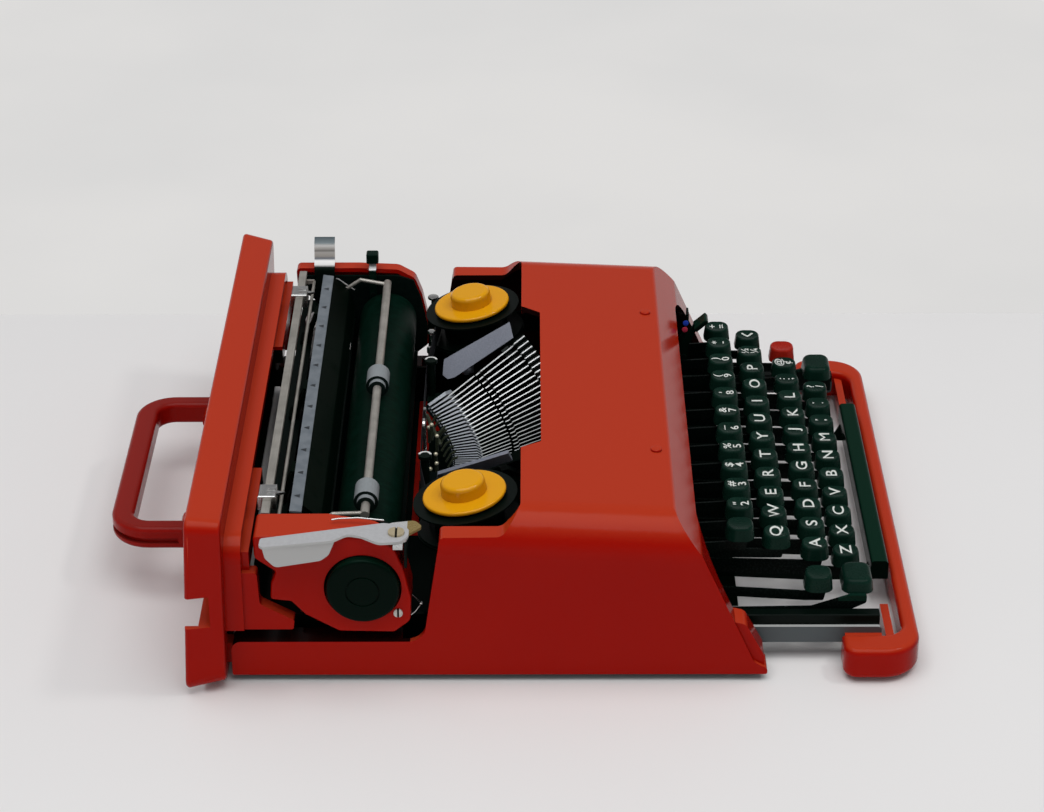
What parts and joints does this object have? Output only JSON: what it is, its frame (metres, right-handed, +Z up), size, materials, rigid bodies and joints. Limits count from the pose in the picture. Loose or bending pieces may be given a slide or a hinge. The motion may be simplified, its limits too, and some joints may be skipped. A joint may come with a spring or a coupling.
{
  "type": "portable typewriter",
  "caption": "Portable manual typewriter with moulded shell, sliding carriage, type basket, ribbon spools, keyboard, front bumper and a back plate with a carrying handle.",
  "frame": {"origin": "centre of the bounding box on the table plane, under the feet", "axes": "+Z up, the keyboard faces -Y, the carrying handle points to +Y, the return lever is on the -X side"},
  "size_m": [0.3205, 0.4034, 0.0989],
  "materials": {
    "red_shell": "moulded, glossy",
    "red_key": "moulded, glossy",
    "orange_knob": "moulded, glossy",
    "black_key": "moulded, glossy",
    "knob_black": "moulded, satin",
    "black_paint": "satin",
    "grey_paint": "satin",
    "pale_paint": "satin",
    "table_paint": "satin",
    "steel": "ground",
    "dark_steel": "blackened",
    "chrome": "polished",
    "brass": "worn",
    "aluminium": "satin",
    "platen_rubber": "ground",
    "foot_rubber": "moulded",
    "inked_ribbon": "inked cotton"
  },
  "bodies": {
    "frame": {"back_plate": "red_shell", "top_cover": "red_shell", "cover_rivets": "chrome", "base_pan": "black_paint", "rubber_feet": "foot_rubber", "front_bumper": "red_shell", "chassis_sides": "steel", "chassis_cross_bars": "black_paint", "carriage_rails": "steel", "key_comb": "dark_steel", "key_pivot_rod": "steel", "type_segment": "grey_paint", "typebars": "dark_steel", "typebar_rest": "dark_steel", "basket_wings": "grey_paint", "ribbon_deck": "black_paint", "ribbon_guides": "chrome", "ribbon_strip": "inked_ribbon", "selector_plate": "black_paint", "bell": "chrome"},
    "carriage": {"carriage_frame": "dark_steel", "left_end_cover": "red_shell", "right_end_cover": "red_shell", "paper_table": "table_paint", "paper_scale": "pale_paint", "margin_rail": "aluminium", "paper_pan": "black_paint", "carriage_screws": "chrome"},
    "platen_set": {"platen": "platen_rubber", "platen_shaft": "steel", "platen_knobs": "knob_black"},
    "feed_roller_set": {"feed_rollers": "platen_rubber"},
    "bail": {"paper_bail": "aluminium"},
    "bail_roller_set": {"bail_rollers": "platen_rubber"},
    "return_lever_arm": {"return_lever": "chrome"},
    "line_space_arm": {"line_space_lever": "chrome"},
    "carriage_release": {"carriage_release_lever": "chrome"},
    "paper_release": {"paper_release_lever": "black_key"},
    "left_stop": {"margin_stop_left": "chrome"},
    "right_stop": {"margin_stop_right": "chrome"},
    "left_spool": {"spool_left": "steel", "spool_cap_left": "orange_knob"},
    "right_spool": {"spool_right": "steel", "spool_cap_right": "orange_knob"},
    "vibrator": {"ribbon_vibrator": "chrome"},
    "selector": {"ribbon_selector": "black_key"},
    "carry_handle": {"handle": "red_shell"},
    "number_row": {"keys_number_row": "black_key"},
    "upper_row": {"keys_top_row": "black_key"},
    "home_row": {"keys_home_row": "black_key"},
    "lower_row": {"keys_bottom_row": "black_key"},
    "g_key": {"key_g": "black_key"},
    "margin_release": {"margin_release_key": "black_key"},
    "backspace": {"backspace_key": "black_key"},
    "tabulator": {"tab_key": "red_key"},
    "shift_lock": {"shift_lock_key": "black_key"},
    "shift": {"shift_keys": "black_key"},
    "space": {"space_bar": "black_key"},
    "g_typebar": {"typebar_g": "dark_steel"},
    "spring_drum": {"mainspring_drum": "brass"}
  },
  "joints": [
    {"name": "handle_hinge", "type": "hinge", "parent": "frame", "child": "carry_handle", "pos_m": [0, 0.1601, 0.0332], "axis": [1, 0, 0], "range_deg": [0, 80]},
    {"name": "carriage_slide", "type": "slide", "parent": "frame", "child": "carriage", "axis": [1, 0, 0], "range_m": [-0.105, 0.105]},
    {"name": "platen_turn", "type": "hinge", "parent": "carriage", "child": "platen_set", "pos_m": [0, 0.0681, 0.0537], "axis": [1, 0, 0], "continuous": true},
    {"name": "feed_roller_turn", "type": "hinge", "parent": "carriage", "child": "feed_roller_set", "pos_m": [0, 0.05859, 0.03582], "axis": [1, 0, 0], "continuous": true},
    {"name": "bail_swing", "type": "hinge", "parent": "carriage", "child": "bail", "pos_m": [0, 0.0941, 0.0715], "axis": [-1, 0, 0], "range_deg": [0, 35]},
    {"name": "bail_roller_turn", "type": "hinge", "parent": "bail", "child": "bail_roller_set", "pos_m": [0, 0.0681, 0.07595], "axis": [1, 0, 0], "continuous": true},
    {"name": "return_lever_swing", "type": "hinge", "parent": "carriage", "child": "return_lever_arm", "pos_m": [-0.1478, 0.0514, 0.084], "axis": [0, 0, 1], "range_deg": [0, 60]},
    {"name": "line_space_swing", "type": "hinge", "parent": "carriage", "child": "line_space_arm", "pos_m": [-0.1478, 0.0514, 0.084], "axis": [0, 0, 1], "range_deg": [0, 8]},
    {"name": "carriage_release_swing", "type": "hinge", "parent": "carriage", "child": "carriage_release", "pos_m": [0.137, 0.1036, 0.0685], "axis": [1, 0, 0], "range_deg": [0, 8], "stiffness_Nm_per_rad": 0.3, "springref_deg": -8.59},
    {"name": "paper_release_swing", "type": "hinge", "parent": "carriage", "child": "paper_release", "pos_m": [0.137, 0.0765, 0.0685], "axis": [1, 0, 0], "range_deg": [0, 10]},
    {"name": "left_stop_slide", "type": "slide", "parent": "carriage", "child": "left_stop", "axis": [1, 0, 0], "range_m": [-0.0055, 0.09]},
    {"name": "right_stop_slide", "type": "slide", "parent": "carriage", "child": "right_stop", "axis": [1, 0, 0], "range_m": [-0.09, 0.016]},
    {"name": "left_spool_turn", "type": "hinge", "parent": "frame", "child": "left_spool", "pos_m": [-0.102, 0.0203, 0.0803], "axis": [0, 0.153, 0.9882], "continuous": true},
    {"name": "right_spool_turn", "type": "hinge", "parent": "frame", "child": "right_spool", "pos_m": [0.102, 0.0203, 0.0803], "axis": [0, 0.153, 0.9882], "continuous": true},
    {"name": "vibrator_lift", "type": "slide", "parent": "frame", "child": "vibrator", "axis": [0, 0, 1], "range_m": [0, 0.01], "stiffness_N_per_m": 20, "springref_m": -0.005},
    {"name": "selector_swing", "type": "hinge", "parent": "frame", "child": "selector", "pos_m": [0.094, -0.0969, 0.051], "axis": [1, 0, 0], "range_deg": [-6, 6]},
    {"name": "number_row_press", "type": "hinge", "parent": "frame", "child": "number_row", "pos_m": [0, -0.0459, 0.044], "axis": [1, 0, 0], "range_deg": [0, 9], "stiffness_Nm_per_rad": 0.45, "springref_deg": -11.46},
    {"name": "upper_row_press", "type": "hinge", "parent": "frame", "child": "upper_row", "pos_m": [0, -0.0459, 0.044], "axis": [1, 0, 0], "range_deg": [0, 7.2], "stiffness_Nm_per_rad": 0.55, "springref_deg": -11.46},
    {"name": "home_row_press", "type": "hinge", "parent": "frame", "child": "home_row", "pos_m": [0, -0.0459, 0.044], "axis": [1, 0, 0], "range_deg": [0, 5.9], "stiffness_Nm_per_rad": 0.65, "springref_deg": -11.46},
    {"name": "lower_row_press", "type": "hinge", "parent": "frame", "child": "lower_row", "pos_m": [0, -0.0459, 0.044], "axis": [1, 0, 0], "range_deg": [0, 5.1], "stiffness_Nm_per_rad": 0.75, "springref_deg": -11.46},
    {"name": "g_key_press", "type": "hinge", "parent": "frame", "child": "g_key", "pos_m": [0, -0.0459, 0.044], "axis": [1, 0, 0], "range_deg": [0, 5.9], "stiffness_Nm_per_rad": 0.08, "springref_deg": -11.46},
    {"name": "margin_release_press", "type": "hinge", "parent": "frame", "child": "margin_release", "pos_m": [0, -0.0459, 0.044], "axis": [1, 0, 0], "range_deg": [0, 9], "stiffness_Nm_per_rad": 0.06, "springref_deg": -11.46},
    {"name": "backspace_press", "type": "hinge", "parent": "frame", "child": "backspace", "pos_m": [0, -0.0459, 0.044], "axis": [1, 0, 0], "range_deg": [0, 7.2], "stiffness_Nm_per_rad": 0.07, "springref_deg": -11.46},
    {"name": "tabulator_press", "type": "hinge", "parent": "frame", "child": "tabulator", "pos_m": [0, -0.0459, 0.044], "axis": [1, 0, 0], "range_deg": [0, 4.5], "stiffness_Nm_per_rad": 0.08, "springref_deg": -11.46},
    {"name": "shift_lock_press", "type": "hinge", "parent": "frame", "child": "shift_lock", "pos_m": [0, -0.0459, 0.044], "axis": [1, 0, 0], "range_deg": [0, 2], "stiffness_Nm_per_rad": 0.08, "springref_deg": -11.46},
    {"name": "shift_press", "type": "hinge", "parent": "frame", "child": "shift", "pos_m": [0, -0.0459, 0.044], "axis": [1, 0, 0], "range_deg": [0, 2.2], "stiffness_Nm_per_rad": 0.6, "springref_deg": -11.46},
    {"name": "space_press", "type": "hinge", "parent": "frame", "child": "space", "pos_m": [0, -0.0459, 0.044], "axis": [1, 0, 0], "range_deg": [0, 3], "stiffness_Nm_per_rad": 0.6, "springref_deg": -11.46},
    {"name": "g_typebar_swing", "type": "hinge", "parent": "frame", "child": "g_typebar", "pos_m": [0, 0.01604, 0.03276], "axis": [-1, 0, 0], "range_deg": [0, 105]},
    {"name": "drum_turn", "type": "hinge", "parent": "frame", "child": "spring_drum", "pos_m": [-0.092, 0.0781, 0.01], "axis": [0, 0, 1], "range_deg": [-365, 365]}
  ],
  "couplings": [
    {"joint": "feed_roller_turn", "follows": "platen_turn", "ratio": -4},
    {"joint": "bail_roller_turn", "follows": "platen_turn", "ratio": -2.6667},
    {"joint": "right_spool_turn", "follows": "left_spool_turn", "ratio": 1},
    {"joint": "g_typebar_swing", "follows": "g_key_press", "ratio": 17.75},
    {"joint": "drum_turn", "follows": "carriage_slide", "rad_per_m": 60}
  ]
}
